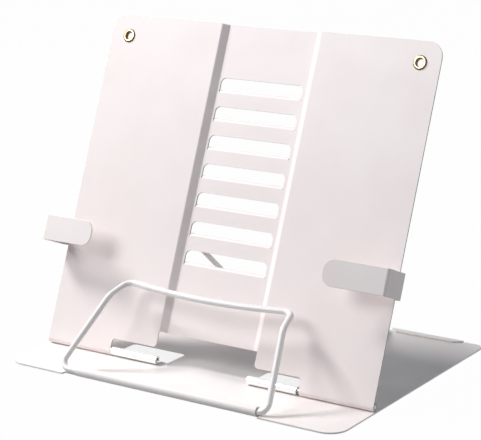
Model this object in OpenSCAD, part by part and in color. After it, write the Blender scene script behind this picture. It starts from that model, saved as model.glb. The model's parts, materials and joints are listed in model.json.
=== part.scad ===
// Folding book stand of painted sheet steel: a base plate, a hinged back panel with a ledged channel,
// a wire prop behind, a wire page bail in front and two page clips that slide in and out at the sides.
// Millimetres. The origin is the centre of the base plate's underside, X is to the right, Y to the rear, Z up.

/* [Base plate] */
// Width of the base plate
base_w = 240; // [230:1:280]
// Depth of the base plate
base_d = 190.5; // [180:0.5:220]
// Thickness of the steel sheet
sheet = 1; // [0.8:0.1:1.2]
// Radius of the two front corners
front_corner_r = 12; // [5:0.5:20]
// Radius of the two rear corners
rear_corner_r = 6.5; // [3:0.5:12]
// Width of the hem that is folded over along the rear edge
hem_w = 9.5; // [6:0.5:14]
// How far the hem stops short of each side edge
hem_inset = 15; // [12:0.5:25]
// Width of the middle stretch whose rear edge is cut back
relief_w = 120; // [114:1:140]
// How far that stretch is cut back
relief_d = 3.2; // [1:0.1:4]

/* [Back panel] */
// Height of the back panel above the hinge axis
panel_h = 216.1; // [205:0.1:260]
// Lean of the back panel from upright, in degrees
lean = 21.4; // [18:0.2:26]
// Radius of the two top corners
panel_corner_r = 10; // [4:0.5:16]
// Width of the pressed channel at the front face
channel_w = 72.6; // [70:0.2:80]
// Width of the channel's floor
channel_floor_w = 64; // [62.5:0.5:66]
// Depth of the channel
channel_depth = 3; // [2:0.1:4]
// Height of the channel's lower end above the hinge axis
channel_foot = 17.8; // [12:0.1:24]
// Left end of the hinge notch, from the middle
notch_left = 70.2; // [68:0.1:76]
// Right end of the hinge notch, from the middle
notch_right = 69.6; // [68:0.1:76]
// Height of the hinge notch above the hinge axis
notch_top = 7.8; // [6:0.1:11]
// Radius of the notch's corners
notch_r = 2.5; // [1:0.1:4]

/* [Slots and ledges] */
// Number of slots, each with its ledge
slot_count = 7; // [6:1:7]
// Width of a slot
slot_w = 59.2; // [50:0.2:60]
// Height of a slot above its ledge
slot_h = 9.9; // [8:0.1:11]
// Distance from one slot to the next
slot_pitch = 18.45; // [17:0.05:20]
// Distance from the panel's top edge to the uppermost slot
slot_margin = 33.9; // [28:0.1:40]
// Radius of the slot's upper corners and the ledge's free corners
slot_corner_r = 3; // [1:0.1:5]
// Inside radius of the bend at a ledge
ledge_bend_r = 0.8; // [0.4:0.1:1.2]
// The ledge that the prop holds up, counted from the top
prop_ledge = 6; // [5:1:6]

/* [Hinge] */
// Distance of the hinge axis from the base plate's front edge
hinge_inset = 44.3; // [40:0.1:52]
// Diameter of the hinge pins
pin_d = 3.2; // [2.6:0.1:4]
// Gap under the knuckles, so that they clear the base plate
hinge_lift = 0.3; // [0.2:0.05:0.6]
// Length of a hinge leaf's barrel
barrel_w = 35; // [28:0.5:36]
// Width of a hinge leaf
leaf_w = 40; // [37:0.5:42]
// Length of a hinge leaf behind the hinge axis
leaf_l = 23.4; // [18:0.1:30]
// Radius of a hinge leaf's rear corners
leaf_corner_r = 2.5; // [1:0.1:5]

/* [Page bail] */
// Diameter of the bail's wire
bail_wire_d = 4; // [3:0.1:4.4]
// Length of the tube that holds the bail
bail_tube_l = 131; // [120:0.5:131]
// Spacing of the two arms at the foot
bail_foot_w = 147.4; // [147:0.2:152]
// Spacing of the two arms at the knee
bail_knee_w = 129.4; // [126:0.2:136]
// Spacing of the two arms at the top bar
bail_top_w = 119.4; // [114:0.2:124]
// Length of the arms from the tube to the knee
bail_lower_l = 50.8; // [46:0.2:52]
// Lean of the arms below the knee, in degrees
bail_lower_lean = 33.6; // [28:0.2:34]
// Length of the arms from the knee to the top bar
bail_upper_l = 17.4; // [14:0.2:18]
// Lean of the arms above the knee, in degrees
bail_upper_lean = 73; // [66:0.5:76]
// Bow of the top bar towards the reader
bail_bow = 5; // [2:0.2:8]
// Bend radius at the foot
bail_foot_r = 7.2; // [5:0.1:7.4]
// Bend radius at the knee and at the top corners
bail_bend_r = 6; // [4:0.1:8]

/* [Rear prop] */
// Diameter of the prop's wire
prop_wire_d = 3.5; // [3:0.1:4]
// Distance of the prop's tube from the base plate's rear edge
prop_inset = 7; // [6.4:0.1:8]
// Length of the tube that holds the prop
prop_tube_l = 91; // [84:0.5:92]
// Spacing of the two arms at the foot
prop_foot_w = 103; // [102:0.2:108]
// Spacing of the two arms at the top bar
prop_top_w = 57; // [50:0.2:57]
// Bend radius of the prop's wire
prop_bend_r = 5; // [3.5:0.1:6]

/* [Page clips] */
// Height of a clip
clip_h = 16.3; // [12:0.1:20]
// Height of a clip's lower edge above the hinge axis
clip_z = 62.5; // [50:0.5:80]
// Distance of a clip's front tab from the panel's front face
clip_reach = 16; // [12:0.1:22]
// Length of a clip's front tab
clip_tab_l = 40; // [30:0.5:50]
// Length of the stop head at the end of a clip's arm
clip_head_l = 4.6; // [3:0.2:7]
// Radius of the tab's free corners
clip_corner_r = 6; // [3:0.1:6]
// Inside radius of a clip's bends
clip_bend_r = 1.2; // [0.5:0.1:2]
// How far the left clip is drawn out
clip_left_out = 8.5; // [0:0.5:18]
// How far the right clip is drawn out
clip_right_out = 0; // [0:0.5:18]
// How far a clip can be drawn out until it meets its stop
clip_travel = 20; // [19:0.5:24]
// Width of the sleeves that guide a clip
guide_w = 10; // [6:0.5:14]

/* [Eyelets] */
// Diameter of an eyelet's hole
eyelet_d = 5; // [4:0.1:6]
// Diameter of an eyelet's flange
eyelet_flange_d = 9; // [8.4:0.1:11]
// Distance of an eyelet from the panel's side edge
eyelet_inset = 13.5; // [11:0.1:20]
// Distance of an eyelet from the panel's top edge
eyelet_drop = 13.3; // [11:0.1:20]

/* [Hidden] */
$fn = 64;

overrun = 1;
turn_gap = 0.05;
wire_gap = 0.1;
seam_gap = 0.3;
seat_gap = 0.3;
slide_gap = 0.3;
kerf = 0.2;
slit_w = 1.5;
bend_steps = 12;
bend_swell = 0.02;
wire_lap = 0.2;
side_gap = 0.2;

paint = [0.965, 0.93, 0.925];
bright_steel = [0.75, 0.76, 0.78];
brass = [0.83, 0.62, 0.25];

front_y = -base_d / 2;
rear_y = base_d / 2;

bail_r = bail_wire_d / 2;
bail_tube_r = bail_r + wire_gap + sheet;
bail_y = front_y + bail_tube_r;
bail_z = bail_tube_r;

prop_r = prop_wire_d / 2;
prop_tube_r = prop_r + wire_gap + sheet;
prop_y = rear_y - prop_inset;
prop_z = prop_tube_r;

pin_r = pin_d / 2;
pin_chamfer = pin_r / 4;
pin_recess = 1;
knuckle_r = pin_r + turn_gap + sheet;
knuckle_gap = 0.3;
knuckle_play = 2.1;
hinge_y = front_y + hinge_inset;
hinge_z = sheet + hinge_lift + knuckle_r;
leaf_left_x = -notch_left + knuckle_gap;
leaf_right_x = notch_right - knuckle_play - barrel_w;
joggle_start = knuckle_r + seam_gap;
joggle_end = joggle_start + sheet;

panel_w = base_w - 2 * side_gap;
front_face = -knuckle_r;
back_face = front_face + sheet;
floor_face = front_face + channel_depth;
slope_angle = atan2(channel_depth, (channel_w - channel_floor_w) / 2);
slope_shift = sheet * tan(slope_angle / 2);
bend_out_r = ledge_bend_r + sheet;
ledge_l = slot_h + bend_out_r - (ledge_bend_r + sheet / 2) * PI / 2;
ledge_w = slot_w - 2 * kerf;

head_clear = 4.4;

guide_edge = 7.8;
guide_outer_x = panel_w / 2 - guide_edge - guide_w;
guide_inner_x = channel_w / 2 + slope_shift + head_clear + clip_head_l + clip_travel + slide_gap;
guide_inner_h = clip_h + 2 * slide_gap;
guide_outer_h = guide_inner_h + 2 * sheet;
guide_inner_d = sheet + 2 * slide_gap;
guide_outer_d = guide_inner_d + 2 * sheet;

arm_face = back_face + sheet + slide_gap;
clip_front = front_face - clip_reach;
clip_back = arm_face + sheet;
clip_out_x = panel_w / 2 + slide_gap + sheet;
clip_out_r = clip_bend_r + sheet;
head_over = 2.5;
clip_arm_x = channel_w / 2 + slope_shift + head_clear;
clip_arm_l = clip_out_x - clip_arm_x;

eyelet_r = eyelet_d / 2;
eyelet_wall = 0.5;
eyelet_flange_h = 0.8;
eyelet_back_r = eyelet_r + 3 * eyelet_wall;
eyelet_hole_r = eyelet_r + eyelet_wall + turn_gap;
washer_r = eyelet_flange_d / 2;
washer_h = 0.6;
eyelet_x = panel_w / 2 - eyelet_inset;
eyelet_z = panel_h - eyelet_drop;

bow_share = 0.8;
bow_vertex = bail_bow / (1 - bow_share / 2);
wire_split = 1;

// Height of a slot's lower edge, which is the top of its ledge, above the hinge axis
function ledge_z(i) = panel_h - slot_margin - slot_h - (i - 1) * slot_pitch;
// A place on the panel, behind the hinge axis by y and up the panel by z, in the stand's frame
function on_panel(x, y, z) = [x, hinge_y + y * cos(lean) + z * sin(lean), hinge_z - y * sin(lean) + z * cos(lean)];
// A direction that leans back from upright by an angle
function leaning(angle) = [0, sin(angle), cos(angle)];
function unit(v) = v / norm(v);
function mirror_x(p) = [-p[0], p[1], p[2]];
function reversed(list) = [for (i = [len(list) - 1:-1:0]) list[i]];

// Turns local X, Y and Z onto the directions x, y and z, with the origin at o
module onto(x, y, z, o) {
  multmatrix([[x[0], y[0], z[0], o[0]], [x[1], y[1], z[1], o[1]], [x[2], y[2], z[2], o[2]]]) children();
}

// Any direction square to d
function square_to(d) = unit(cross(d, abs(d[0]) < 0.9 ? [1, 0, 0] : [0, 1, 0]));

module rod(from, to, r) {
  d = unit(to - from);
  s = square_to(d);
  onto(s, cross(d, s), d, from) cylinder(h = norm(to - from), r = r);
}

// A round wire along the points of a path, bent at each inner point to the radius given for it.
// A bend is a hair thicker than the straight stretches, which end inside it
module wire(path, radii, r) {
  last = len(path) - 1;
  ways = [for (i = [0:last - 1]) unit(path[i + 1] - path[i])];
  turns = [for (i = [1:last - 1]) acos(ways[i - 1] * ways[i])];
  trims = [for (i = [0:last]) i == 0 || i == last ? 0 : radii[i - 1] * tan(turns[i - 1] / 2)];
  for (i = [0:last - 1]) {
    from = trims[i] - (i == 0 ? 0 : wire_lap);
    to = trims[i + 1] - (i == last - 1 ? 0 : wire_lap);
    rod(path[i] + ways[i] * from, path[i + 1] - ways[i] * to, r);
  }
  for (i = [1:last - 1]) {
    come = ways[i - 1];
    side = unit(ways[i] - come * (come * ways[i]));
    centre = path[i] - come * trims[i] + side * radii[i - 1];
    onto(-side, come, cross(-side, come), centre)
      rotate_extrude(angle = turns[i - 1], $fn = ceil(360 * bend_steps / turns[i - 1]))
        translate([radii[i - 1], 0]) circle(r + bend_swell);
  }
}

// Extrudes a section that is drawn in Y and Z along X
module along_x(length) {
  rotate([90, 0, 90]) linear_extrude(length) children();
}

// Extrudes an outline that is drawn in X and Z along Y, from y0 to y1
module along_y(y0, y1) {
  translate([0, y1, 0]) rotate([90, 0, 0]) linear_extrude(y1 - y0) children();
}

// What a round corner at the origin takes off a piece that lies towards +X and +Y
module corner_off(r) {
  difference() {
    translate([-overrun, -overrun]) square(r + overrun);
    translate([r, r]) circle(r);
  }
}

module both_sides() {
  children();
  mirror([1, 0, 0]) children();
}

// Section of a sheet's edge rolled round a wire or pin at the origin. The sheet comes from +Y, under the wire
module rolled_edge(inner_r, sheet_l) {
  outer_r = inner_r + sheet;
  difference() {
    circle(outer_r);
    circle(inner_r);
    translate([0, -outer_r - overrun]) square([outer_r + overrun, overrun + sheet + seam_gap]);
  }
  translate([0, -outer_r]) square([sheet_l, sheet]);
}

module panel_frame() {
  translate([0, hinge_y, hinge_z]) rotate([-lean, 0, 0]) children();
}

module base_outline() {
  difference() {
    translate([-base_w / 2, front_y]) square([base_w, base_d]);
    both_sides() {
      translate([-base_w / 2, front_y]) corner_off(front_corner_r);
      translate([-base_w / 2, rear_y]) mirror([0, 1]) corner_off(rear_corner_r);
      translate([relief_w / 2, rear_y - sheet]) square([base_w / 2 - hem_inset - relief_w / 2, sheet + overrun]);
    }
    tube_cut_w = bail_tube_l + 2 * slit_w;
    translate([-tube_cut_w / 2, front_y - overrun]) square([tube_cut_w, overrun + bail_tube_r]);
    translate([-relief_w / 2, rear_y - relief_d]) square([relief_w, relief_d + overrun]);
    prop_cut_w = prop_tube_l + 2 * slit_w;
    translate([-prop_cut_w / 2, prop_y]) square([prop_cut_w, prop_inset + overrun]);
  }
}

// The hem: the sheet folded back on itself with a round fold
module hem_section() {
  translate([rear_y - hem_w, 0]) square([hem_w - sheet, 2 * sheet]);
  translate([rear_y - sheet, sheet]) circle(sheet);
}

module base_plate() {
  color(paint) {
    linear_extrude(sheet) base_outline();
    both_sides() translate([relief_w / 2, 0, 0]) along_x(base_w / 2 - hem_inset - relief_w / 2) hem_section();
    translate([-bail_tube_l / 2, bail_y, bail_z])
      along_x(bail_tube_l) rolled_edge(bail_tube_r - sheet, bail_tube_r);
    translate([-prop_tube_l / 2, prop_y, prop_z])
      along_x(prop_tube_l) mirror([1, 0]) rolled_edge(prop_tube_r - sheet, prop_tube_r);
  }
}

// A hinge leaf, with its barrel's left end at x. The leaf runs on past the barrel at its right
module hinge_leaf(x) {
  drop = knuckle_r + hinge_lift;
  color(paint) translate([x, hinge_y, hinge_z]) difference() {
    union() {
      along_x(barrel_w) {
        rolled_edge(knuckle_r - sheet, joggle_start);
        polygon([[joggle_start, -knuckle_r], [joggle_end, -drop], [joggle_end, sheet - drop],
          [joggle_start, sheet - knuckle_r]]);
      }
      translate([0, joggle_end, -drop]) cube([leaf_w, leaf_l - joggle_end, sheet]);
    }
    translate([0, leaf_l, -drop - overrun]) linear_extrude(sheet + 2 * overrun) {
      mirror([0, 1]) corner_off(leaf_corner_r);
      translate([leaf_w, 0]) mirror([1, 0]) mirror([0, 1]) corner_off(leaf_corner_r);
    }
  }
}

module hinge_pin(x0, x1) {
  length = x1 - x0;
  color(bright_steel) translate([x0, hinge_y, hinge_z]) rotate([0, 90, 0]) rotate_extrude()
    polygon([[0, 0], [pin_r - pin_chamfer, 0], [pin_r, pin_chamfer], [pin_r, length - pin_chamfer],
      [pin_r - pin_chamfer, length], [0, length]]);
}

// Section of the panel across its width, with the channel pressed back in the middle
module panel_section() {
  half = [[panel_w / 2, front_face], [channel_w / 2, front_face], [channel_floor_w / 2, floor_face]];
  behind = [[panel_w / 2, back_face], [channel_w / 2 + slope_shift, back_face],
    [channel_floor_w / 2 + slope_shift, floor_face + sheet]];
  flip = function(points) [for (p = reversed(points)) [-p[0], p[1]]];
  polygon(concat(half, flip(half), reversed(flip(behind)), reversed(behind)));
}

module slot_outline() {
  difference() {
    translate([-slot_w / 2, -bend_out_r]) square([slot_w, slot_h + bend_out_r]);
    both_sides() translate([-slot_w / 2, slot_h]) mirror([0, 1]) corner_off(slot_corner_r);
  }
}

// The flap of a slot, bent back into a ledge whose top is at z
module ledge(z) {
  translate([-ledge_w / 2, floor_face + bend_out_r, z - bend_out_r]) along_x(ledge_w) intersection() {
    difference() {
      circle(bend_out_r);
      circle(ledge_bend_r);
    }
    translate([-bend_out_r, 0]) square(bend_out_r);
  }
  translate([0, floor_face + bend_out_r, z - sheet]) linear_extrude(sheet) difference() {
    translate([-ledge_w / 2, 0]) square([ledge_w, ledge_l]);
    both_sides() translate([-ledge_w / 2, ledge_l]) mirror([0, 1]) corner_off(slot_corner_r);
  }
}

module hinge_notch() {
  difference() {
    translate([-notch_left, -overrun]) square([notch_left + notch_right, notch_top + overrun]);
    translate([-notch_left, notch_top]) mirror([0, 1]) corner_off(notch_r);
    translate([notch_right, notch_top]) mirror([1, 0]) mirror([0, 1]) corner_off(notch_r);
  }
  translate([-channel_w / 2, -overrun]) square([channel_w, channel_foot + overrun]);
}

module knuckle(x, width) {
  translate([x, 0, 0]) along_x(width) mirror([1, -1]) rolled_edge(knuckle_r - sheet, knuckle_r);
}

module back_panel() {
  color(paint) panel_frame() {
    difference() {
      linear_extrude(panel_h) panel_section();
      along_y(front_face - overrun, floor_face + sheet + overrun) {
        hinge_notch();
        both_sides() {
          translate([-panel_w / 2, panel_h]) mirror([0, 1]) corner_off(panel_corner_r);
          translate([eyelet_x, eyelet_z]) circle(eyelet_hole_r);
        }
        for (i = [1:slot_count]) translate([0, ledge_z(i)]) slot_outline();
      }
    }
    for (i = [1:slot_count]) ledge(ledge_z(i));
    knuckle(-panel_w / 2, panel_w / 2 - notch_left);
    knuckle(notch_right, panel_w / 2 - notch_right);
  }
}

// A flat sleeve on the panel's back, in which a clip's arm slides. Its end nearest the middle is at x
module guide(x) {
  color(paint) panel_frame()
    translate([x, back_face, clip_z - slide_gap - sheet]) along_x(guide_w) difference() {
      square([guide_outer_d, guide_outer_h]);
      translate([sheet, sheet]) square([guide_inner_d, guide_inner_h]);
      translate([guide_outer_d, 0]) mirror([1, 0]) corner_off(sheet);
      translate([guide_outer_d, guide_outer_h]) mirror([1, 0]) mirror([0, 1]) corner_off(sheet);
    }
}

// Plan of a clip: front tab, side wall and arm in one bent strip
module clip_plan() {
  depth = clip_back - clip_front;
  translate([clip_out_x, clip_front]) difference() {
    translate([-clip_arm_l, 0]) square([clip_arm_l, depth]);
    mirror([1, 0]) corner_off(clip_out_r);
    translate([0, depth]) mirror([1, 0]) mirror([0, 1]) corner_off(clip_out_r);
    difference() {
      translate([-clip_arm_l - overrun, sheet]) square([clip_arm_l + overrun - sheet, depth - 2 * sheet]);
      translate([-sheet, sheet]) mirror([1, 0]) corner_off(clip_bend_r);
      translate([-sheet, depth - sheet]) mirror([1, 0]) mirror([0, 1]) corner_off(clip_bend_r);
    }
    translate([-clip_arm_l - overrun, -overrun])
      square([clip_arm_l - clip_tab_l + overrun, sheet + 2 * overrun]);
  }
}

// A right-hand clip, drawn out by a distance
module clip(out) {
  color(paint) panel_frame() translate([out, 0, clip_z]) {
    difference() {
      linear_extrude(clip_h) clip_plan();
      along_y(clip_front - overrun, clip_front + sheet + overrun)
        translate([clip_out_x - clip_tab_l, 0]) {
          corner_off(clip_corner_r);
          translate([0, clip_h]) mirror([0, 1]) corner_off(clip_corner_r);
        }
    }
    translate([clip_arm_x, arm_face, -head_over]) cube([clip_head_l, sheet, clip_h + 2 * head_over]);
  }
}

// An eyelet: a rolled flange in front, a barrel through the panel, and its end rolled over the washer
module eyelet(side) {
  back = back_face + washer_h;
  reach = back + eyelet_flange_h;
  color(brass) panel_frame() translate([side * eyelet_x, 0, eyelet_z]) rotate([-90, 0, 0]) rotate_extrude()
    difference() {
      union() {
        translate([eyelet_r, front_face - eyelet_flange_h])
          square([eyelet_wall, reach - front_face + eyelet_flange_h]);
        translate([eyelet_r, front_face - eyelet_flange_h])
          square([washer_r - eyelet_r, eyelet_flange_h]);
        translate([eyelet_r, back]) square([eyelet_back_r - eyelet_r, eyelet_flange_h]);
      }
      translate([eyelet_r, front_face - eyelet_flange_h]) corner_off(eyelet_flange_h);
      translate([washer_r, front_face - eyelet_flange_h]) mirror([1, 0]) corner_off(eyelet_flange_h);
      translate([eyelet_back_r, reach]) mirror([1, 0]) mirror([0, 1]) corner_off(eyelet_flange_h);
    }
}

module eyelet_washer(side) {
  color(brass) panel_frame() translate([side * eyelet_x, back_face, eyelet_z]) rotate([-90, 0, 0])
    difference() {
      cylinder(h = washer_h, r = washer_r);
      translate([0, 0, -overrun]) cylinder(h = washer_h + 2 * overrun, r = eyelet_hole_r);
    }
}

module page_bail() {
  axis = [0, bail_y, bail_z];
  start = axis + [wire_split / 2, 0, 0];
  foot = axis + [bail_foot_w / 2, 0, 0];
  knee = axis + [bail_knee_w / 2, 0, 0] + bail_lower_l * leaning(bail_lower_lean);
  top = knee + [(bail_top_w - bail_knee_w) / 2, 0, 0] + bail_upper_l * leaning(bail_upper_lean);
  bow = [0, top[1], top[2]] - bow_vertex * leaning(bail_upper_lean);
  bow_r = bow_share * bail_top_w / 2 * norm([bail_top_w / 2, bow_vertex]) / bow_vertex;
  half = [start, foot, knee, top];
  bends = [bail_foot_r, bail_bend_r, bail_bend_r];
  color(paint) wire(concat(half, [bow], reversed([for (p = half) mirror_x(p)])),
    concat(bends, [bow_r], reversed(bends)), bail_r);
}

module rear_prop() {
  axis = [0, prop_y, prop_z];
  start = axis + [wire_split / 2, 0, 0];
  foot = axis + [prop_foot_w / 2, 0, 0];
  top = on_panel(prop_top_w / 2, floor_face + sheet + seat_gap + prop_r,
    ledge_z(prop_ledge) - sheet - seat_gap - prop_r);
  half = [start, foot, top];
  bends = [prop_bend_r, prop_bend_r];
  color(paint) wire(concat(half, reversed([for (p = half) mirror_x(p)])), concat(bends, reversed(bends)), prop_r);
}

base_plate();
hinge_leaf(leaf_left_x);  // hinge_leaf_left
hinge_leaf(leaf_right_x);  // hinge_leaf_right
hinge_pin(-panel_w / 2, leaf_left_x + barrel_w - pin_recess);  // hinge_pin_left
hinge_pin(leaf_right_x + pin_recess, panel_w / 2);  // hinge_pin_right
back_panel();
mirror([1, 0, 0]) guide(guide_outer_x);  // guide_left_outer
mirror([1, 0, 0]) guide(guide_inner_x);  // guide_left_inner
guide(guide_outer_x);  // guide_right_outer
guide(guide_inner_x);  // guide_right_inner
mirror([1, 0, 0]) clip(clip_left_out);  // clip_left
clip(clip_right_out);  // clip_right
eyelet(-1);  // eyelet_left
eyelet(1);  // eyelet_right
eyelet_washer(-1);  // eyelet_washer_left
eyelet_washer(1);  // eyelet_washer_right
page_bail();
rear_prop();
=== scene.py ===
import json
import math

import bmesh
import bpy
from mathutils import Matrix, Vector

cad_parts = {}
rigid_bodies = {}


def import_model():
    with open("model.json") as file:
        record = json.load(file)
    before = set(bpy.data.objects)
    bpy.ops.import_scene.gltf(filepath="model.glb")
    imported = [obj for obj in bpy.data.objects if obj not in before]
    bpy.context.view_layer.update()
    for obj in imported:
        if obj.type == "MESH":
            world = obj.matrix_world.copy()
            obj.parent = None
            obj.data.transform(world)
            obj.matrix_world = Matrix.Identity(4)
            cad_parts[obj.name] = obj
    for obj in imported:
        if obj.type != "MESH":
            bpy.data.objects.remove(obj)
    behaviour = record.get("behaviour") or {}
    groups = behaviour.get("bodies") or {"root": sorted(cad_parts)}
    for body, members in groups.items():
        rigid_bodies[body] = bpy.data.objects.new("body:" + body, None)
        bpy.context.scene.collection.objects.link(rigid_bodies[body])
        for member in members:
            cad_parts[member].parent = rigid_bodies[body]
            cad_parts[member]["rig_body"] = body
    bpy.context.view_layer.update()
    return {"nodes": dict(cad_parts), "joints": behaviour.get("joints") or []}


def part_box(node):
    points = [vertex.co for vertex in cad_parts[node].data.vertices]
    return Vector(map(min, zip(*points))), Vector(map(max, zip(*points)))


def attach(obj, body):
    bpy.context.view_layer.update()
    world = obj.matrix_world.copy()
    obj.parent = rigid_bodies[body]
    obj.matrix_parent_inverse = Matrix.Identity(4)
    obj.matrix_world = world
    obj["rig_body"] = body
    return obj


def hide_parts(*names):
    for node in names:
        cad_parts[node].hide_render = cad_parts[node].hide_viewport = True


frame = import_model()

# Folding book stand in white powder coat. The shop drawing below is in millimetres, Blender works in metres
mm = 0.001
joints = {joint["name"]: joint for joint in frame["joints"]}


def axisOf(name):
    return [value / mm for value in joints[name]["pos_m"]]


stand = {
    "lean": math.radians(21.4),  # the back panel from upright
    "sheet": 1.0,
    "seam": 0.3,  # what a rolled edge leaves open
    "edgeSoft": 0.28,  # rounding that the coat gives every cut edge
    "edgeTurn": math.radians(50),  # a surface that turns by more counts as an edge
}
blank = {
    "onScore": 1e-4,  # how near a scored line a corner counts as on it
    "weld": 2e-3,  # corners nearer than this become one
    "flat": math.radians(0.5),  # faces that turn by less become one
    "near": 0.01,  # play for telling which bend a corner belongs to
}
sides = {"left": -1, "right": 1}

hingeY, hingeZ = axisOf("panel_tilt")[1:]
bailY, bailZ = axisOf("bail_swing")[1:]
propY, propZ = axisOf("prop_swing")[1:]
sheet = stand["sheet"]
onPanel = Matrix.Translation((0, hingeY * mm, hingeZ * mm)) @ Matrix.Rotation(-stand["lean"], 4, "X")


# Colours are written as sRGB bytes
def swatch(red, green, blue):
    linear = []
    for value in (red, green, blue):
        share = value / 255
        linear.append(share / 12.92 if share <= 0.04045 else ((share + 0.055) / 1.055) ** 2.4)
    return (*linear, 1)


# A track is the side view of a folded sheet: straights and bends, walked by the length along the sheet
def walk(start, s):
    x, y, heading, length, turn = start
    if turn == 0:
        return x + s * math.cos(heading), y + s * math.sin(heading), heading
    radius = length / turn
    now = heading + turn * s / length
    x += radius * (math.sin(now) - math.sin(heading))
    y -= radius * (math.cos(now) - math.cos(heading))
    return x, y, now


def makeTrack(x, y, heading, steps):
    track = []
    for length, turn in steps:
        track.append((x, y, heading, length, turn))
        x, y, heading = walk(track[-1], length)
    return track


def bend(radius, turn):
    return (abs(radius * turn), turn)


def along(track, s):
    for piece in track[:-1]:
        if s <= piece[3]:
            return walk(piece, s)[:2]
        s -= piece[3]
    return walk(track[-1], s)[:2]


# Where a flat blank is scored so that its bends come out round
def scores(track, facet=math.radians(10)):
    places = []
    done = 0
    for piece in track:
        count = max(1, math.ceil(abs(piece[4]) / facet))
        places += [done + piece[3] * k / count for k in range(count + 1)]
        done += piece[3]
    return places[1:-1]


# An outline from corners (x, y, radius), with each radius turned into an arc
def outline(corners, facet=math.radians(9)):
    points = []
    for i, (x, y, radius) in enumerate(corners):
        here = Vector((x, y))
        if not radius:
            points.append(here)
            continue
        back = (Vector(corners[i - 1][:2]) - here).normalized()
        ahead = (Vector(corners[(i + 1) % len(corners)][:2]) - here).normalized()
        half = back.angle(ahead) / 2
        centre = here + (back + ahead).normalized() * radius / math.sin(half)
        first = here + back * radius / math.tan(half) - centre
        turn = first.angle_signed(here + ahead * radius / math.tan(half) - centre)
        count = max(3, math.ceil(abs(turn) / facet))
        for k in range(count + 1):
            points.append(centre + Matrix.Rotation(-turn * k / count, 2) @ first)
    return points


def ring(x, y, radius, count=40):
    turns = [2 * math.pi * k / count for k in range(count)]
    return [Vector((x + radius * math.cos(a), y + radius * math.sin(a))) for a in turns]


# Cuts a blank out of sheet, scores it along lines of one x or one y, and folds it
def foldedBlank(loops, xScores, yScores, fold):
    work = bmesh.new()
    for loop in loops:
        verts = [work.verts.new((point.x, point.y, 0)) for point in loop]
        for a, b in zip(verts, verts[1:] + verts[:1]):
            work.edges.new((a, b))
    bmesh.ops.triangle_fill(work, use_beauty=True, edges=work.edges[:])
    lines = [(Vector((x, 0, 0)), Vector((1, 0, 0))) for x in xScores]
    lines += [(Vector((0, y, 0)), Vector((0, 1, 0))) for y in yScores]
    for place, normal in lines:
        geometry = work.verts[:] + work.edges[:] + work.faces[:]
        bmesh.ops.bisect_plane(work, geom=geometry, dist=blank["onScore"], plane_co=place, plane_no=normal)
    for vert in work.verts:
        vert.co = fold(vert.co.x, vert.co.y)
    return work


def joinFlat(work):
    bmesh.ops.dissolve_limit(work, angle_limit=blank["flat"], verts=work.verts[:], edges=work.edges[:])


# Gives a folded blank its thickness. Its biggest face is turned outside, and the sheet grows behind it
def sheetPiece(name, work, outside, place, material, replaced, cut=None):
    bmesh.ops.remove_doubles(work, verts=work.verts[:], dist=blank["weld"])
    joinFlat(work)
    bmesh.ops.recalc_face_normals(work, faces=work.faces[:])
    biggest = max(work.faces, key=lambda face: face.calc_area())
    if biggest.normal.dot(outside) < 0:
        bmesh.ops.reverse_faces(work, faces=work.faces[:])
    piece = meshPiece(name, work, place, material, replaced)
    solid = piece.modifiers.new("thickness", "SOLIDIFY")
    solid.thickness = sheet * mm
    solid.offset = -1
    solid.use_even_offset = True
    if cut:  # painted shade: the sheet's cut edges get a darker grey material
        piece.data.materials.append(cut)
        solid.material_offset_rim = 1
    softEdges(piece)


def softEdges(piece):
    soft = piece.modifiers.new("softEdge", "BEVEL")
    soft.width = stand["edgeSoft"] * mm
    soft.segments = 2
    soft.limit_method = "ANGLE"
    soft.angle_limit = stand["edgeTurn"]
    soft.use_clamp_overlap = True
    soft.miter_outer = "MITER_ARC"
    piece.modifiers.new("cleanShading", "WEIGHTED_NORMAL").keep_sharp = True


def meshPiece(name, work, place, material, replaced):
    mesh = bpy.data.meshes.new(name)
    work.to_mesh(mesh)
    work.free()
    mesh.transform(Matrix.Scale(mm, 4))
    mesh.transform(place)
    mesh.shade_smooth()
    return addPiece(bpy.data.objects.new(name, mesh), material, replaced)


def addPiece(piece, material, replaced):
    bpy.context.scene.collection.objects.link(piece)
    piece.data.materials.append(material)
    body = frame["nodes"][replaced]["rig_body"]
    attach(piece, body)
    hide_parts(replaced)
    return piece


# Turns a profile of (radius, height) round the local Z axis
def turnedPiece(name, profile, place, material, replaced, count=64):
    work = bmesh.new()
    rows = []
    for radius, height in profile:
        rows.append([work.verts.new((point.x, point.y, height)) for point in ring(0, 0, radius, count)])
    for low, high in zip(rows, rows[1:] + rows[:1]):
        for k in range(count):
            work.faces.new((low[k], low[(k + 1) % count], high[(k + 1) % count], high[k]))
    bmesh.ops.recalc_face_normals(work, faces=work.faces[:])
    return meshPiece(name, work, place, material, replaced)


# The centre line of a wire through corner points, with a bend at each inner one
def wireLine(corners, radii, facet=math.radians(5)):
    points = [corners[0]]
    for i, radius in enumerate(radii):
        here = corners[i + 1]
        back = (corners[i] - here).normalized()
        ahead = (corners[i + 2] - here).normalized()
        half = back.angle(ahead) / 2
        centre = here + (back + ahead).normalized() * radius / math.sin(half)
        first = here + back * radius / math.tan(half) - centre
        last = here + ahead * radius / math.tan(half) - centre
        count = max(2, math.ceil((math.pi - 2 * half) / facet))
        turn = first.rotation_difference(last)
        for k in range(count + 1):
            share = Matrix.Rotation(turn.angle * k / count, 3, turn.axis)
            points.append(centre + share @ first)
    return points + [corners[-1]]


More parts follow.
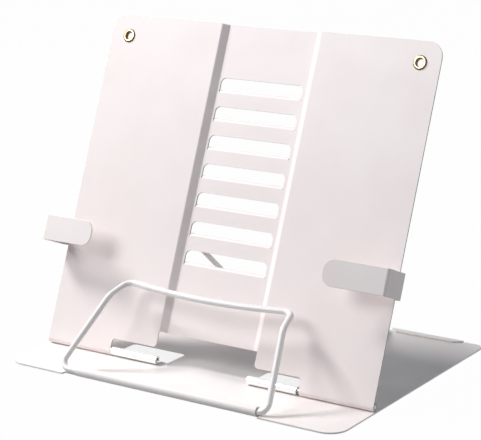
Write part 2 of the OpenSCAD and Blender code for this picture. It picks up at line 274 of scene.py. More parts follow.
def wirePiece(name, points, diameter, material, replaced):
    curve = bpy.data.curves.new(name, "CURVE")
    curve.dimensions = "3D"
    curve.bevel_depth = diameter / 2 * mm
    curve.bevel_resolution = 8
    curve.use_fill_caps = True
    spline = curve.splines.new("POLY")
    spline.points.add(len(points) - 1)
    for target, point in zip(spline.points, points):
        target.co = (*(point * mm), 1)
    spline.use_smooth = True
    addPiece(bpy.data.objects.new(name, curve), material, replaced)


# A direction in the side view, so far from upright towards the rear
def leaning(angle):
    return Vector((0, math.sin(angle), math.cos(angle)))


edgeBand = (0.98, 0.72)  # how far the true and the rounded normal agree on a flat face and on a full edge


# A material under way, with short words for the nodes that the finishes below use
class Shader:
    def __init__(self, name):
        self.material = bpy.data.materials.new(name)
        self.material.use_nodes = True
        self.tree = self.material.node_tree
        self.surface = self.tree.nodes["Principled BSDF"]
        self.place = self.add("ShaderNodeTexCoord").outputs["Object"]

    def add(self, kind, **values):
        made = self.tree.nodes.new(kind)
        for key, value in values.items():
            setattr(made, key, value)
        return made

    def feed(self, socket, value):
        if isinstance(value, bpy.types.NodeSocket):
            self.tree.links.new(value, socket)
        else:
            socket.default_value = value

    def noise(self, size, detail=2.0, roughness=0.5, stretch=None):
        made = self.add("ShaderNodeTexNoise")
        place = self.place
        if stretch:
            spread = self.add("ShaderNodeMapping")
            spread.inputs["Scale"].default_value = stretch
            self.feed(spread.inputs["Vector"], place)
            place = spread.outputs["Vector"]
        self.feed(made.inputs["Vector"], place)
        made.inputs["Scale"].default_value = 1 / (size * mm)
        made.inputs["Detail"].default_value = detail
        made.inputs["Roughness"].default_value = roughness
        return made.outputs["Fac"]

    def spread(self, value, low, high, toLow=0.0, toHigh=1.0):
        made = self.add("ShaderNodeMapRange", interpolation_type="SMOOTHSTEP")
        self.feed(made.inputs["Value"], value)
        made.inputs["From Min"].default_value = low
        made.inputs["From Max"].default_value = high
        made.inputs["To Min"].default_value = toLow
        made.inputs["To Max"].default_value = toHigh
        return made.outputs["Result"]

    def maths(self, operation, a, b):
        made = self.add("ShaderNodeMath", operation=operation)
        self.feed(made.inputs[0], a)
        self.feed(made.inputs[1], b)
        return made.outputs["Value"]

    def blend(self, share, a, b):
        made = self.add("ShaderNodeMix", data_type="RGBA")
        self.feed(made.inputs["Factor"], share)
        self.feed(made.inputs["A"], a)
        self.feed(made.inputs["B"], b)
        return made.outputs["Result"]

    # Where the surface turns over an edge, so that wear and thin coat sit there
    def edges(self, reach):
        rounded = self.add("ShaderNodeBevel", samples=6)
        rounded.inputs["Radius"].default_value = reach * mm
        true = self.add("ShaderNodeNewGeometry").outputs["Normal"]
        product = self.add("ShaderNodeVectorMath", operation="DOT_PRODUCT")
        self.feed(product.inputs[0], rounded.outputs["Normal"])
        self.feed(product.inputs[1], true)
        return self.spread(product.outputs["Value"], *edgeBand)

    def bumps(self, heights):
        normal = None
        for height, depth in heights:
            made = self.add("ShaderNodeBump")
            made.inputs["Strength"].default_value = 1.0
            made.inputs["Distance"].default_value = depth * mm
            self.feed(made.inputs["Height"], height)
            if normal:
                self.feed(made.inputs["Normal"], normal)
            normal = made.outputs["Normal"]
        self.feed(self.surface.inputs["Normal"], normal)


# Powder coat: a faint mottle, specks, thin coat on the edges, orange peel and a slow wave from rolling
def powderCoat(name, look):
    shader = Shader(name)
    surface = shader.surface
    mottle = shader.spread(shader.noise(look["mottleSize"], detail=4, roughness=0.55), *look["mottleBand"])
    tone = shader.blend(mottle, look["colour"], look["shade"])
    dust = shader.noise(look["speckSize"], detail=1)
    specks = shader.spread(dust, *look["speckBand"], toLow=0, toHigh=look["specks"])
    tone = shader.blend(specks, tone, look["speck"])
    rub = shader.spread(shader.noise(look["wearSize"], detail=4), *look["wearBand"])
    worn = shader.maths("MULTIPLY", shader.edges(look["edgeReach"]), rub)
    thin = shader.maths("MULTIPLY", worn, look["wear"])
    tone = shader.blend(thin, tone, look["edge"])
    shader.feed(surface.inputs["Base Color"], tone)
    smooth = look["roughness"] - look["smearLow"]
    rough = look["roughness"] + look["smearHigh"]
    hands = shader.noise(look["smearSize"], detail=5, roughness=0.6)
    smear = shader.spread(hands, *look["smearBand"], toLow=smooth, toHigh=rough)
    thinRough = shader.maths("MULTIPLY", thin, look["wearRough"])
    shader.feed(surface.inputs["Roughness"], shader.maths("ADD", smear, thinRough))
    peel = shader.noise(look["peelSize"], detail=2, roughness=0.45)
    wave = shader.noise(look["waveSize"], detail=1, roughness=0.3)
    shader.bumps([(wave, look["waveDepth"]), (peel, look["peelDepth"])])
    surface.inputs["IOR"].default_value = look["bending"]
    surface.inputs["Metallic"].default_value = look["metal"]
    surface.inputs["Specular IOR Level"].default_value = look["specular"]
    surface.inputs["Coat Weight"].default_value = look["coat"]
    surface.inputs["Coat Roughness"].default_value = look["coatRoughness"]
    return shader.material


# Sizes, reaches and depths are in millimetres. A band is the stretch of a noise over which it takes effect
coatLook = {
    "colour": swatch(243, 232, 230),
    "shade": swatch(240, 228, 226),
    "mottleSize": 45,
    "mottleBand": (0.35, 0.68),
    "speck": swatch(205, 196, 192),
    "specks": 0.2,
    "speckSize": 0.9,
    "speckBand": (0.80, 0.86),
    "edge": swatch(214, 206, 203),
    "edgeReach": 0.5,
    "wear": 0.35,
    "wearSize": 2.4,
    "wearBand": (0.42, 0.6),
    "wearRough": 0.1,
    "roughness": 0.42,
    "smearSize": 34,
    "smearBand": (0.3, 0.7),
    "smearLow": 0.04,
    "smearHigh": 0.05,
    "peelSize": 1.5,
    "peelDepth": 0.012,
    "waveSize": 70,
    "waveDepth": 0.25,
    "metal": 0,
    "bending": 1.5,  # index of refraction
    "specular": 0.4,
    "coat": 0.1,
    "coatRoughness": 0.25,
}
glossLook = {
    **coatLook,
    "colour": swatch(246, 239, 236),
    "shade": swatch(243, 235, 232),
    "roughness": 0.3,
    "peelDepth": 0.003,
    "waveDepth": 0.05,
    "coat": 0.35,
    "coatRoughness": 0.16,
}
leafLook = {
    **glossLook,
    "colour": swatch(252, 252, 252),
    "shade": swatch(248, 248, 248),
    "roughness": 0.2,
    "specks": 0,
    "peelDepth": 0.0008,
    "waveDepth": 0.01,
    "metal": 0.85,  # the leaves are brighter than any coat round them
}
wireLook = {
    **glossLook,
    "colour": swatch(242, 238, 236),
    "shade": swatch(238, 233, 231),
    "peelSize": 1.1,
    "waveSize": 24,
    "waveDepth": 0.03,
}
# Painted shade: the panel's cut edges are a darker grey, standing for the shade they sit in
cutEdgeShadeLook = {
    **coatLook,
    "colour": swatch(176, 174, 175),
    "shade": swatch(164, 162, 163),
}
clipLook = {
    **coatLook,
    "colour": swatch(238, 229, 227),
    "shade": swatch(235, 225, 222),
    "roughness": 0.36,
    "waveDepth": 0.05,
}
baseLook = {
    **glossLook,
    "roughness": 0.38,
    "specular": 0.25,
    "coat": 0.02,
}
panelPaint = powderCoat("panelPaint", coatLook)
cutEdgeShade = powderCoat("cutEdgeShade", cutEdgeShadeLook)
clipPaint = powderCoat("clipPaint", clipLook)
guidePaint = powderCoat("guidePaint", {**coatLook, "wear": 0.5})
basePaint = powderCoat("basePaint", baseLook)
leafPaint = powderCoat("leafPaint", leafLook)
wirePaint = powderCoat("wirePaint", wireLook)


# Bare metal: a turned or drawn surface with fine lines, patches of tarnish, rubbed edges, painted shade in
# hollows and, on the eyelets, a painted highlight along the rim's crest
def bareMetal(name, look):
    shader = Shader(name)
    surface = shader.surface
    patches = shader.noise(look["tarnishSize"], detail=4, roughness=0.6)
    tarnish = shader.spread(patches, *look["tarnishBand"])
    tone = shader.blend(tarnish, look["colour"], look["tarnish"])
    # Painted highlight: the eyelet's crest band takes the pale edge colour, together with real wear on
    # edges
    crest = shader.add("ShaderNodeAttribute", attribute_name="wearAndHighlight").outputs["Fac"]
    worn = shader.maths("MULTIPLY", shader.edges(look["edgeReach"]), look["edgeWear"])
    wearAndHighlight = shader.maths("MAXIMUM", worn, crest)
    tone = shader.blend(wearAndHighlight, tone, look["edge"])
    # Painted shade: darker where ambient occlusion finds a hollow
    hollowShade = shader.add("ShaderNodeAmbientOcclusion", samples=8)
    hollowShade.inputs["Distance"].default_value = look["hollowReach"] * mm
    depth = shader.spread(hollowShade.outputs["AO"], *look["hollowBand"], toLow=1, toHigh=0)
    shader.feed(surface.inputs["Base Color"], shader.blend(depth, tone, look["hollowShade"]))
    smooth, rough = look["roughness"]
    lines = shader.noise(look["lineSize"], detail=3, roughness=0.6, stretch=look["lineStretch"])
    drawn = shader.spread(lines, *look["lineBand"], toLow=smooth, toHigh=rough)
    shader.feed(surface.inputs["Roughness"], drawn)
    shader.bumps([(lines, look["lineDepth"])])
    surface.inputs["Metallic"].default_value = 1
    return shader.material


# The brass is kept dark brown to stand for dark reflections; its pale edge colour is the painted highlight
# on the crest
brassLook = {
    "colour": swatch(112, 80, 36),
    "tarnish": swatch(70, 46, 16),
    "tarnishSize": 2.5,
    "tarnishBand": (0.4, 0.7),
    "edge": swatch(246, 232, 176),
    "edgeReach": 0.35,
    "edgeWear": 0.1,
    "hollowShade": swatch(44, 26, 10),  # painted shade in the bore and under the rim
    "hollowReach": 3,
    "hollowBand": (0.25, 0.85),
    "roughness": (0.14, 0.3),
    "lineSize": 0.6,
    "lineBand": (0.3, 0.7),
    "lineStretch": (1, 1, 5),
    "lineDepth": 0.004,
}
pinLook = {
    **brassLook,
    "colour": swatch(176, 176, 178),
    "tarnish": swatch(120, 116, 112),
    "edge": swatch(205, 205, 206),
    "edgeWear": 0.5,
    "hollowShade": swatch(96, 92, 88),
    "hollowReach": 1.5,
    "tarnishSize": 6,
    "roughness": (0.24, 0.42),
    "lineSize": 1.2,
    "lineStretch": (0.1, 4, 4),
    "lineDepth": 0.006,
}
brass = bareMetal("eyeletBrass", brassLook)
pinSteel = bareMetal("pinSteel", pinLook)
print("materials ready")


# Base plate: one blank, with the bail's tube rolled at the front, the prop's tube and two hems at the rear
base = {
    "width": 240,
    "depth": 190.5,
    "frontCorner": 12,
    "rearCorner": 6.5,
    "hemWidth": 6.5,
    "hemEnd": 105,
    "hemCorner": 1,
    "hemRelief": 0.8,
    "foldRadius": 1.05,
    "reliefWidth": 106,
    "reliefDepth": 3.2,
    "slit": 1.5,
    "leftSlit": 10,  # the bail's left foot stands further out
    "bailTube": 131,
    "propTube": 91,
}


# A rolled edge goes round until its end is a seam away from its own sheet
def rollTurn(radius):
    return 2 * math.pi - math.acos(1 - (sheet + stand["seam"]) / radius)


def makeBase():
    side = base["width"] / 2
    front = -base["depth"] / 2
    rear = base["depth"] / 2
    bailTurn = rollTurn(bailZ)
    propTurn = rollTurn(propZ)
    bailTrack = makeTrack(bailY, 0, math.pi, [bend(bailZ, -bailTurn)])
    propTrack = makeTrack(propY, 0, 0, [bend(propZ, propTurn)])
    foldY = rear - base["foldRadius"]
    hemFlat = base["hemWidth"] - base["foldRadius"]
    hemTrack = makeTrack(foldY, 0, 0, [bend(base["foldRadius"], math.pi), (hemFlat, 0)])
    bailEnd = bailY - bailZ * bailTurn
    propEnd = propY + propZ * propTurn
    foldEnd = foldY + base["foldRadius"] * math.pi
    hemEnd = foldEnd + hemFlat
    bailX = base["bailTube"] / 2
    propX = base["propTube"] / 2
    midX = base["reliefWidth"] / 2
    midY = rear - base["reliefDepth"]
    hemX = base["hemEnd"]
    hemCorner = base["hemCorner"]
    notchX = hemX + base["hemRelief"]
    notchY = foldY - base["hemRelief"]
    right = [(bailX, bailEnd, 0), (bailX, bailY, 0), (bailX + base["slit"], bailY, 0),
             (bailX + base["slit"], front, 0), (side, front, base["frontCorner"]),
             (side, rear, base["rearCorner"]), (notchX, rear, 0), (notchX, notchY, 0),
             (hemX, notchY, 0), (hemX, foldEnd, 0), (hemX - hemFlat, hemEnd, hemCorner),
             (midX + hemFlat, hemEnd, hemCorner), (midX, foldEnd, 0), (midX, midY, 0),
             (propX + base["slit"], midY, 0), (propX + base["slit"], propY, 0), (propX, propY, 0),
             (propX, propEnd, 0)]
    left = [(-x, y, radius) for x, y, radius in reversed(right)]
    widen = base["leftSlit"] - base["slit"]
    left = [(x - widen if x == -bailX - base["slit"] else x, y, radius) for x, y, radius in left]
    near = blank["near"]

    def fold(x, y):
        if y < bailY and abs(x) <= bailX + near:
            y, z = along(bailTrack, bailY - y)
        elif y > propY and abs(x) <= propX + near:
            y, z = along(propTrack, y - propY)
        elif y > foldY and midX - near <= abs(x) <= hemX + near:
            y, z = along(hemTrack, y - foldY)
        else:
            z = 0
        return Vector((x, y, z))

    lines = [bailY - s for s in scores(bailTrack)] + [bailY]
    lines += [propY + s for s in scores(propTrack)] + [propY]
    lines += [foldY + s for s in scores(hemTrack)] + [foldY]
    work = foldedBlank([outline(right + left)], [], lines, fold)
    sheetPiece("baseSheet", work, Vector((0, 0, -1)), Matrix(), basePaint, "base_plate")


makeBase()
print("base plate folded")


# Hinge leaves: barrel, a small joggle down to the base plate, and a plate with round rear corners
leaf = {
    "barrel": 35,
    "barrelRadius": 2.65,
    "joggleAt": 2.95,
    "joggleLength": 1,
    "joggleFacets": 4,
    "joggleDrop": 0.3,
    "width": 40,
    "length": 23.4,
    "corner": 2.5,
}


def makeLeaf(name, node):
    x0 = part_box(node)[0].x / mm
    turn = rollTurn(leaf["barrelRadius"])
    track = makeTrack(0, -leaf["barrelRadius"], math.pi, [bend(leaf["barrelRadius"], -turn)])
    barrelEnd = -leaf["barrelRadius"] * turn
    joggleEnd = leaf["joggleAt"] + leaf["joggleLength"]

    def fold(x, y):
        if y < 0:
            y, z = along(track, -y)
        else:
            share = min(1, max(0, (y - leaf["joggleAt"]) / leaf["joggleLength"]))
            z = -leaf["barrelRadius"] - leaf["joggleDrop"] * share * share * (3 - 2 * share)
        return Vector((x, y, z))

    corners = [(0, barrelEnd, 0), (leaf["barrel"], barrelEnd, 0), (leaf["barrel"], joggleEnd, 0),
               (leaf["width"], joggleEnd, 0), (leaf["width"], leaf["length"], leaf["corner"]),
               (0, leaf["length"], leaf["corner"])]
    facets = leaf["joggleFacets"]
    lines = [-s for s in scores(track)] + [0]
    lines += [leaf["joggleAt"] + leaf["joggleLength"] * k / facets for k in range(facets + 1)]
    work = foldedBlank([outline(corners)], [], lines, fold)
    place = Matrix.Translation((x0 * mm, hingeY * mm, hingeZ * mm))
    sheetPiece(name, work, Vector((0, 0, -1)), place, leafPaint, node)


# The pins keep the frame's own shape
def finishPin(node):
    pin = frame["nodes"][node].data
    pin.materials.clear()
    pin.materials.append(pinSteel)
    pin.shade_smooth()


for word in sides:
    makeLeaf("hingeLeaf" + word.title(), "hinge_leaf_" + word)
    finishPin("hinge_pin_" + word)
print("hinge leaves rolled")


# Back panel, drawn in x and up the panel: channel, slots with their ledges, knuckles and eyelet holes
panel = {
    "width": 239.6,
    "height": 216.1,
    "corner": 10,
    "knuckleRadius": 2.65,
    "channelWidth": 72.6,
    "channelFloor": 64,
    "channelDepth": 3,
    "channelFoot": 17.8,  # where the channel ends above the notch
    "notch": (-70.2, 69.6),  # its two ends, seen from the front
    "notchTop": 7.8,
    "notchCorner": 2.5,  # also of the two corners beside the channel
    "bendInside": 1.0,
    "bendFacets": 4,
    "slots": 7,
    "slotEnds": (-30.6, 29.6),
    "slotHeight": 7.6,
    "slotPitch": 18.45,
    "slotMargin": 33.9,
    "slotCorner": 3.6,
    "ledgeKerf": 0.35,
    "ledgeDepth": 7.24,
    "ledgeFacets": 8,
    "eyeletHole": 3.05,
    "eyeletInset": 13.5,
    "eyeletDrop": 13.3,
}
panelSide = panel["width"] / 2
panelFront = -panel["knuckleRadius"]
bendInside = panel["bendInside"]
bendOutside = bendInside + sheet
slope = math.atan2(panel["channelDepth"], (panel["channelWidth"] - panel["channelFloor"]) / 2)
channelRim = panel["channelWidth"] / 2 + bendOutside * math.tan(slope / 2)
channelBed = panel["channelFloor"] / 2 - bendInside * math.tan(slope / 2)
eyeletX = panelSide - panel["eyeletInset"]
eyeletZ = panel["height"] - panel["eyeletDrop"]


# How far the front face lies back at x
def channelDepth(x):
    fromRim = channelRim - abs(x)
    fromBed = abs(x) - channelBed
    if fromRim <= 0:
        return 0
    if fromBed <= 0:
        return panel["channelDepth"]
    if fromRim < bendOutside * math.sin(slope):
        return bendOutside - math.sqrt(bendOutside ** 2 - fromRim ** 2)
    if fromBed < bendInside * math.sin(slope):
        return panel["channelDepth"] - bendInside + math.sqrt(bendInside ** 2 - fromBed ** 2)
    return (panel["channelWidth"] / 2 - abs(x)) * math.tan(slope)


def slotSill(i):
    return panel["height"] - panel["slotMargin"] - panel["slotHeight"] - i * panel["slotPitch"]


# The flap of a slot, bent back through a right angle
def addLedge(work, sill):
    left = panel["slotEnds"][0] + panel["ledgeKerf"]
    right = panel["slotEnds"][1] - panel["ledgeKerf"]
    bed = panelFront + panel["channelDepth"]
    depth = panel["ledgeDepth"]
    facets = panel["ledgeFacets"]
    row = None
    for k in range(facets + 1):
        a = math.pi / 2 * k / facets
        y = bed + bendOutside * (1 - math.cos(a))
        z = sill - bendOutside + bendOutside * math.sin(a)
        made = [work.verts.new((right, y, z)), work.verts.new((left, y, z))]
        if row:
            work.faces.new((row[0], made[0], made[1], row[1]))
        row = made
    corner = panel["slotCorner"]
    flat = outline([(right, 0, 0), (left, 0, 0), (left, depth, corner), (right, depth, corner)])
    row += [work.verts.new((point.x, bed + bendOutside + point.y, sill)) for point in flat[2:]]
    work.faces.new(row)


def makePanel():
    left, right = panel["notch"]
    turn = rollTurn(panel["knuckleRadius"])
    track = makeTrack(panelFront, 0, -math.pi / 2, [bend(panel["knuckleRadius"], turn)])
    rolled = -panel["knuckleRadius"] * turn
    channelX = panel["channelWidth"] / 2
    foot = panel["channelFoot"]
    notchTop = panel["notchTop"]
    notchCorner = panel["notchCorner"]
    border = [(-panelSide, rolled, 0), (left, rolled, 0), (left, notchTop, notchCorner),
              (-channelX, notchTop, notchCorner), (-channelX, foot, 0),
              (channelX, foot, 0), (channelX, notchTop, notchCorner),
              (right, notchTop, notchCorner), (right, rolled, 0), (panelSide, rolled, 0),
              (panelSide, panel["height"], panel["corner"]), (-panelSide, panel["height"], panel["corner"])]
    loops = [outline(border)]
    x0, x1 = panel["slotEnds"]
    kerf = panel["ledgeKerf"]
    for i in range(panel["slots"]):
        low = slotSill(i) - bendOutside
        high = slotSill(i) + panel["slotHeight"]
        loops.append(outline([(x0, low, 0), (x0 + kerf, low, 0), (x1 - kerf, low, 0), (x1, low, 0),
                              (x1, high, panel["slotCorner"]), (x0, high, panel["slotCorner"])]))
    for x in (-eyeletX, eyeletX):
        loops.append(ring(x, eyeletZ, panel["eyeletHole"]))

    def fold(x, z):
        if z < 0:
            y, z = along(track, -z)
        else:
            y = panelFront + channelDepth(x)
        return Vector((x, y, z))

    turns = [slope * k / panel["bendFacets"] for k in range(panel["bendFacets"] + 1)]
    bends = [channelRim - bendOutside * math.sin(a) for a in turns]
    bends += [channelBed + bendInside * math.sin(a) for a in turns]
    lines = [-s for s in scores(track)] + [0]
    work = foldedBlank(loops, bends + [-x for x in bends], lines, fold)
    for i in range(panel["slots"]):
        addLedge(work, slotSill(i))
    sheetPiece("backPanel", work, Vector((0, -1, 0)), onPanel, panelPaint, "back_panel", cutEdgeShade)


makePanel()
print("back panel pressed")


# Page clips: flared front tab, side wall and arm in one strip, with the stop head at the arm's end
clip = {
    "height": 16.3,
    "low": {-1: 61.3, 1: 62.9},  # by side; the left one hangs a little lower
    "reach": 16,
    "tab": 41.1,
    "tabCorner": 6.8,
    "flare": math.radians(5.5),
    "bendInside": 0.6,
    "facet": math.radians(7.5),
    "stand": 3,  # how far the guides hold the arm off the panel's back
    "gap": 0.3,  # round the arm in its guides, and beside the panel's edge
    "headLength": 4.6,
    "headOver": 2.5,
    "headClear": 4.4,  # from the channel, with the clip pushed home
}
clipOutX = panelSide + clip["gap"] + sheet
clipBack = panelFront + 3 * sheet + clip["stand"] + clip["gap"]
clipArm = clipOutX - (panel["channelWidth"] / 2 + sheet * math.tan(slope / 2) + clip["headClear"])


def makeClip(name, node, side):
    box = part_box(node)
    out = max(abs(box[0].x), abs(box[1].x)) / mm - clipOutX
    radius = clip["bendInside"] + sheet
    wall = clipBack - (panelFront - clip["reach"]) - 2 * radius
    flare = clip["flare"]
    flat = clip["tab"] - radius
    steps = [(flat, 0), bend(radius, math.pi / 2 - flare), (wall, 0), bend(radius, math.pi / 2)]
    steps += [(clipArm - radius, 0)]
    startX = clipOutX + out - radius + radius * math.sin(flare) - flat * math.cos(flare)
    startY = panelFront - clip["reach"] + radius - radius * math.cos(flare) - flat * math.sin(flare)
    track = makeTrack(startX, startY, flare, steps)
    length = sum(step[0] for step in steps)
    head = length - clip["headLength"]
    low = -clip["headOver"]
    high = clip["height"] + clip["headOver"]
    corner = clip["tabCorner"]
    corners = [(0, 0, corner), (head, 0, 0), (head, low, 0), (length, low, 0), (length, high, 0),
               (head, high, 0), (head, clip["height"], 0), (0, clip["height"], corner)]

    def fold(s, z):
        x, y = along(track, s)
        return Vector((side * x, y, clip["low"][side] + z))

    work = foldedBlank([outline(corners)], scores(track, clip["facet"]), [], fold)
    sheetPiece(name, work, Vector((0, 1, 0)), onPanel, clipPaint, node)


for word, side in sides.items():
    makeClip("clip" + word.title(), "clip_" + word, side)
print("clips bent")


# Guides: flat sleeves on two feet behind the panel, each of strip that is bent round the clip's arm
guide = {"play": 0.3, "corner": 1.0}


def makeGuide(node, side):
    x0, x1 = (corner.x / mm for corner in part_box(node))
    low = clip["low"][side] - guide["play"]
    high = low + clip["height"] + 2 * guide["play"]
    foot = panelFront + sheet
    inside = foot + clip["stand"]
    back = inside + 3 * sheet + 2 * guide["play"]
    outer = outline([(foot, low - sheet, 0), (back, low - sheet, guide["corner"]),
                     (back, high + sheet, guide["corner"]), (foot, high + sheet, 0),
                     (foot, high, 0), (inside, high, 0), (inside, low, 0), (foot, low, 0)])
    inner = outline([(inside + sheet, low, 0), (back - sheet, low, 0),
                     (back - sheet, high, 0), (inside + sheet, high, 0)])
    section = foldedBlank([outer, inner], [], [], lambda y, z: Vector((x0, y, z)))
    grown = bmesh.ops.extrude_face_region(section, geom=section.faces[:])
    for item in grown["geom"]:
        if isinstance(item, bmesh.types.BMVert):
            item.co.x = x1
    bmesh.ops.recalc_face_normals(section, faces=section.faces[:])
    joinFlat(section)
    softEdges(meshPiece("sleeve." + node, section, onPanel, guidePaint, node))


for word, side in sides.items():
    makeGuide("guide_" + word + "_outer", side)
    makeGuide("guide_" + word + "_inner", side)
print("guides made")


# Eyelets: a rolled rim in front, a funnel down to the bore, and the burst end curled over a washer behind
eyelet = {
    "bore": 2.5,
    "wall": 0.5,
    "rim": 4.5,
    "rimHeight": 0.8,
    "crest": 3.3,  # where the rim stands highest
    "funnel": 0.5,
    "highlightWidth": 0.42,
    "washer": 0.6,
    "washerPlay": 0.05,
    "washerSoft": 0.12,
    "curl": 4.0,
    "curlInset": 0.1,
    "burstEnd": 0.3,
}


# A quarter turn of an ellipse, counted from the angle start
def quarter(x, y, wide, high, start, count=8):
    turns = [start + math.pi / 2 * k / count for k in range(count + 1)]
    return [(x + wide * math.cos(a), y + high * math.sin(a)) for a in turns]


# A turned profile's height points back through the panel
def eyeletPlace(side):
    hole = Matrix.Translation((side * eyeletX * mm, 0, eyeletZ * mm))
    return onPanel @ hole @ Matrix.Rotation(-math.pi / 2, 4, "X")


def makeEyelet(name, node, side):
    front = panelFront
    back = front + sheet + eyelet["washer"]
    bore = eyelet["bore"]
    tube = bore + eyelet["wall"]
    rim = eyelet["rimHeight"]
    lip = rim / 2
    crest = eyelet["crest"]
    sunk = eyelet["funnel"]
    curl = eyelet["curl"]
    profile = [(bore, back + rim - eyelet["burstEnd"])]
    profile += quarter(crest, front + sunk, crest - bore, rim + sunk, math.pi)
    profile += quarter(crest, front, eyelet["rim"] - crest, rim, -math.pi / 2)[1:]
    profile += [(tube, front), (tube, back), (curl - eyelet["curlInset"], back)]
    profile += quarter(curl - lip, back + lip, lip, lip, -math.pi / 4)
    profile += quarter(bore + lip, back + rim - lip, lip, lip, math.pi / 2)
    piece = turnedPiece(name, profile, eyeletPlace(side), brass, node)
    # Painted highlight: a pale band round the crest of the rim, kept as a point attribute
    wearAndHighlight = piece.data.attributes.new("wearAndHighlight", "FLOAT", "POINT")
    turns = len(wearAndHighlight.data) // len(profile)
    for k, (radius, height) in enumerate(profile):
        share = 0
        if height < front + sunk / 2:  # painted highlight, on the front face only
            share = math.exp(-((radius - crest) / eyelet["highlightWidth"]) ** 2)
        for i in range(turns):
            wearAndHighlight.data[k * turns + i].value = share


def makeWasher(name, node, side):
    back = panelFront + sheet
    high = back + eyelet["washer"]
    hole = eyelet["bore"] + eyelet["wall"] + eyelet["washerPlay"]
    soft = eyelet["washerSoft"]
    edge = eyelet["rim"]
    profile = [(hole, back), (hole, high - soft), (hole + soft, high), (edge - soft, high),
               (edge, high - soft), (edge, back)]
    piece = turnedPiece(name, profile, eyeletPlace(side), brass, node)
    piece.data.shade_flat()


for word, side in sides.items():
    makeEyelet("eyelet." + word, "eyelet_" + word, side)
    makeWasher("washer." + word, "eyelet_washer_" + word, side)
print("eyelets set")


# Page bail: one wire from inside its tube, up both arms and across the bowed bar
bail = {
    "wire": 4.0,
    "footWidth": 152,
    "kneeWidth": 126.6,
    "topWidth": 120,
    "footShift": -4,  # each shift is to the right of the middle; a real bail is seldom bent true
    "kneeShift": 1.9,
    "topShift": 1.5,
    "lower": (50.8, math.radians(33.6)),
    "upper": (17.4, math.radians(73)),
    "bow": 5,
    "bowShare": 0.8,
    "footBend": 5.4,
    "kneeBend": 10,
    "topBend": 6,
    "facet": math.radians(2),
    "split": 1,  # between the wire's ends inside the tube
}


def makeBail():
    axis = Vector((0, bailY, bailZ))
    across = Vector((1, 0, 0))
    lower, lowerLean = bail["lower"]
    upper, upperLean = bail["upper"]
    knee = axis + lower * leaning(lowerLean)
    top = knee + upper * leaning(upperLean)
    arms = {}
    for side in (1, -1):
        arms[side] = [axis + across * side * bail["split"] / 2,
                      axis + across * (side * bail["footWidth"] / 2 + bail["footShift"]),
                      knee + across * (side * bail["kneeWidth"] / 2 + bail["kneeShift"]),
                      top + across * (side * bail["topWidth"] / 2 + bail["topShift"])]
    vertex = bail["bow"] / (1 - bail["bowShare"] / 2)
    bow = top + across * bail["topShift"] - vertex * leaning(upperLean)
    reach = bail["topWidth"] / 2
    bowRadius = bail["bowShare"] * reach * math.hypot(reach, vertex) / vertex
    bends = [bail["footBend"], bail["kneeBend"], bail["topBend"]]
    points = wireLine(arms[1] + [bow] + arms[-1][::-1], bends + [bowRadius] + bends[::-1], bail["facet"])
    wirePiece("pageBail", points, bail["wire"], wirePaint, "page_bail")


makeBail()
print("page bail bent")


# Rear prop: from its tube up to the bar that rests under the sixth ledge
prop = {
    "wire": 3.5,
    "footWidth": 103,
    "topWidth": 62.5,
    "bend": 5,
    "facet": math.radians(4),
    "ledge": 6,
    "play": 0.3,
    "split": 1,
}


def makeProp():
    axis = Vector((0, propY, propZ))
    across = Vector((1, 0, 0))
    behind = panelFront + panel["channelDepth"] + sheet + prop["play"] + prop["wire"] / 2
    under = slotSill(prop["ledge"] - 1) - sheet - prop["play"] - prop["wire"] / 2
    top = onPanel @ (Vector((prop["topWidth"] / 2, behind, under)) * mm) / mm
    half = [axis + across * prop["split"] / 2, axis + across * prop["footWidth"] / 2, top]
    mirrored = [Vector((-point.x, point.y, point.z)) for point in reversed(half)]
    points = wireLine(half + mirrored, [prop["bend"]] * 4, prop["facet"])
    wirePiece("rearProp", points, prop["wire"], wirePaint, "rear_prop")


makeProp()
print("rear prop bent")


# Floor, light and camera, in metres, but the lens, its sensor and the floor's grain in millimetres
studio = {
    "floorSize": 6,
    "floorDrop": 0.0002,
    "floor": swatch(140, 142, 144),
    "floorShade": swatch(136, 138, 140),
    "floorGrain": 3,
    "floorBand": (0.3, 0.7),
    "floorRoughness": (0.8, 0.9),
    "floorShow": 0.985,  # how much of plain white the camera sees in the floor
    "world": 0.13,
    "worldTone": swatch(205, 232, 255),
    "target": (0.0559, -0.09525, 0.1157),
    "camera": (0.5643, -0.87425, 0.3466),
    "lens": 128.3,
    "sensor": 36,
    "lampTarget": (0, 0, 0.08),
}


def makeFloor():
    work = bmesh.new()
    bmesh.ops.create_grid(work, x_segments=2, y_segments=2, size=studio["floorSize"])
    mesh = bpy.data.meshes.new("floor")
    work.to_mesh(mesh)
    work.free()
    floor = bpy.data.objects.new("floor", mesh)
    bpy.context.scene.collection.objects.link(floor)
    floor.location.z = -studio["floorDrop"]
    shader = Shader("floorPaper")
    grain = shader.noise(studio["floorGrain"], detail=3)
    tone = shader.blend(grain, studio["floor"], studio["floorShade"])
    shader.feed(shader.surface.inputs["Base Color"], tone)
    smooth, rough = studio["floorRoughness"]
    matt = shader.spread(grain, *studio["floorBand"], toLow=smooth, toHigh=rough)
    shader.feed(shader.surface.inputs["Roughness"], matt)
    shine = shader.add("ShaderNodeEmission")
    shine.inputs["Color"].default_value = (1, 1, 1, 1)
    path = shader.add("ShaderNodeLightPath")
    seen = shader.maths("MAXIMUM", path.outputs["Is Camera Ray"], path.outputs["Is Glossy Ray"])
    share = shader.maths("MULTIPLY", seen, studio["floorShow"])
    mixed = shader.add("ShaderNodeMixShader")
    shader.feed(mixed.inputs["Fac"], share)
    shader.feed(mixed.inputs[1], shader.surface.outputs["BSDF"])
    shader.feed(mixed.inputs[2], shine.outputs["Emission"])
    shader.feed(shader.tree.nodes["Material Output"].inputs["Surface"], mixed.outputs["Shader"])
    mesh.materials.append(shader.material)


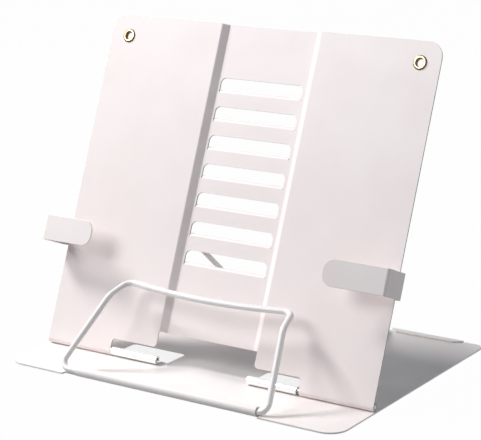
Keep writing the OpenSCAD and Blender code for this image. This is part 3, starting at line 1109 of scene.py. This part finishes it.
def makeWorld():
    world = bpy.data.worlds.new("studio")
    world.use_nodes = True
    bpy.context.scene.world = world
    tree = world.node_tree
    soft = tree.nodes["Background"]
    soft.inputs["Color"].default_value = studio["worldTone"]
    soft.inputs["Strength"].default_value = studio["world"]
    white = tree.nodes.new("ShaderNodeBackground")
    white.inputs["Color"].default_value = (1, 1, 1, 1)
    path = tree.nodes.new("ShaderNodeLightPath")
    seen = tree.nodes.new("ShaderNodeMath")
    seen.operation = "MAXIMUM"
    mixed = tree.nodes.new("ShaderNodeMixShader")
    tree.links.new(path.outputs["Is Camera Ray"], seen.inputs[0])
    tree.links.new(path.outputs["Is Glossy Ray"], seen.inputs[1])
    tree.links.new(seen.outputs["Value"], mixed.inputs["Fac"])
    tree.links.new(soft.outputs["Background"], mixed.inputs[1])
    tree.links.new(white.outputs["Background"], mixed.inputs[2])
    tree.links.new(mixed.outputs["Shader"], tree.nodes["World Output"].inputs["Surface"])


# Each lamp is a soft box: where it hangs, its size, both in metres, and its strength in watts
lamps = {
    "key": {"place": (-0.91, -0.195, 1.09), "size": (0.28, 0.28), "power": 16.2},
    "front": {"place": (-0.85, -1.25, 1.3), "size": (0.9, 0.9), "power": 17.4},
    "side": {"place": (1.5, 0.4, 0.28), "size": (0.8, 0.8), "power": 5.5},
}


def makeLamps():
    aim = Vector(studio["lampTarget"])
    for name, lamp in lamps.items():
        data = bpy.data.lights.new(name, "AREA")
        data.shape = "RECTANGLE"
        data.size, data.size_y = lamp["size"]
        data.energy = lamp["power"]
        light = bpy.data.objects.new(name, data)
        bpy.context.scene.collection.objects.link(light)
        light.location = lamp["place"]
        light.rotation_euler = (aim - light.location).to_track_quat("-Z", "Y").to_euler()


def makeCamera():
    data = bpy.data.cameras.new("camera")
    data.lens = studio["lens"]
    data.sensor_width = studio["sensor"]
    camera = bpy.data.objects.new("camera", data)
    bpy.context.scene.collection.objects.link(camera)
    camera.location = studio["camera"]
    aim = Vector(studio["target"]) - camera.location
    camera.rotation_euler = aim.to_track_quat("-Z", "Y").to_euler()
    bpy.context.scene.camera = camera


makeFloor()
makeWorld()
makeLamps()
makeCamera()
bpy.context.scene.view_settings.view_transform = "Standard"
print("studio ready")

bpy.context.view_layer.update()
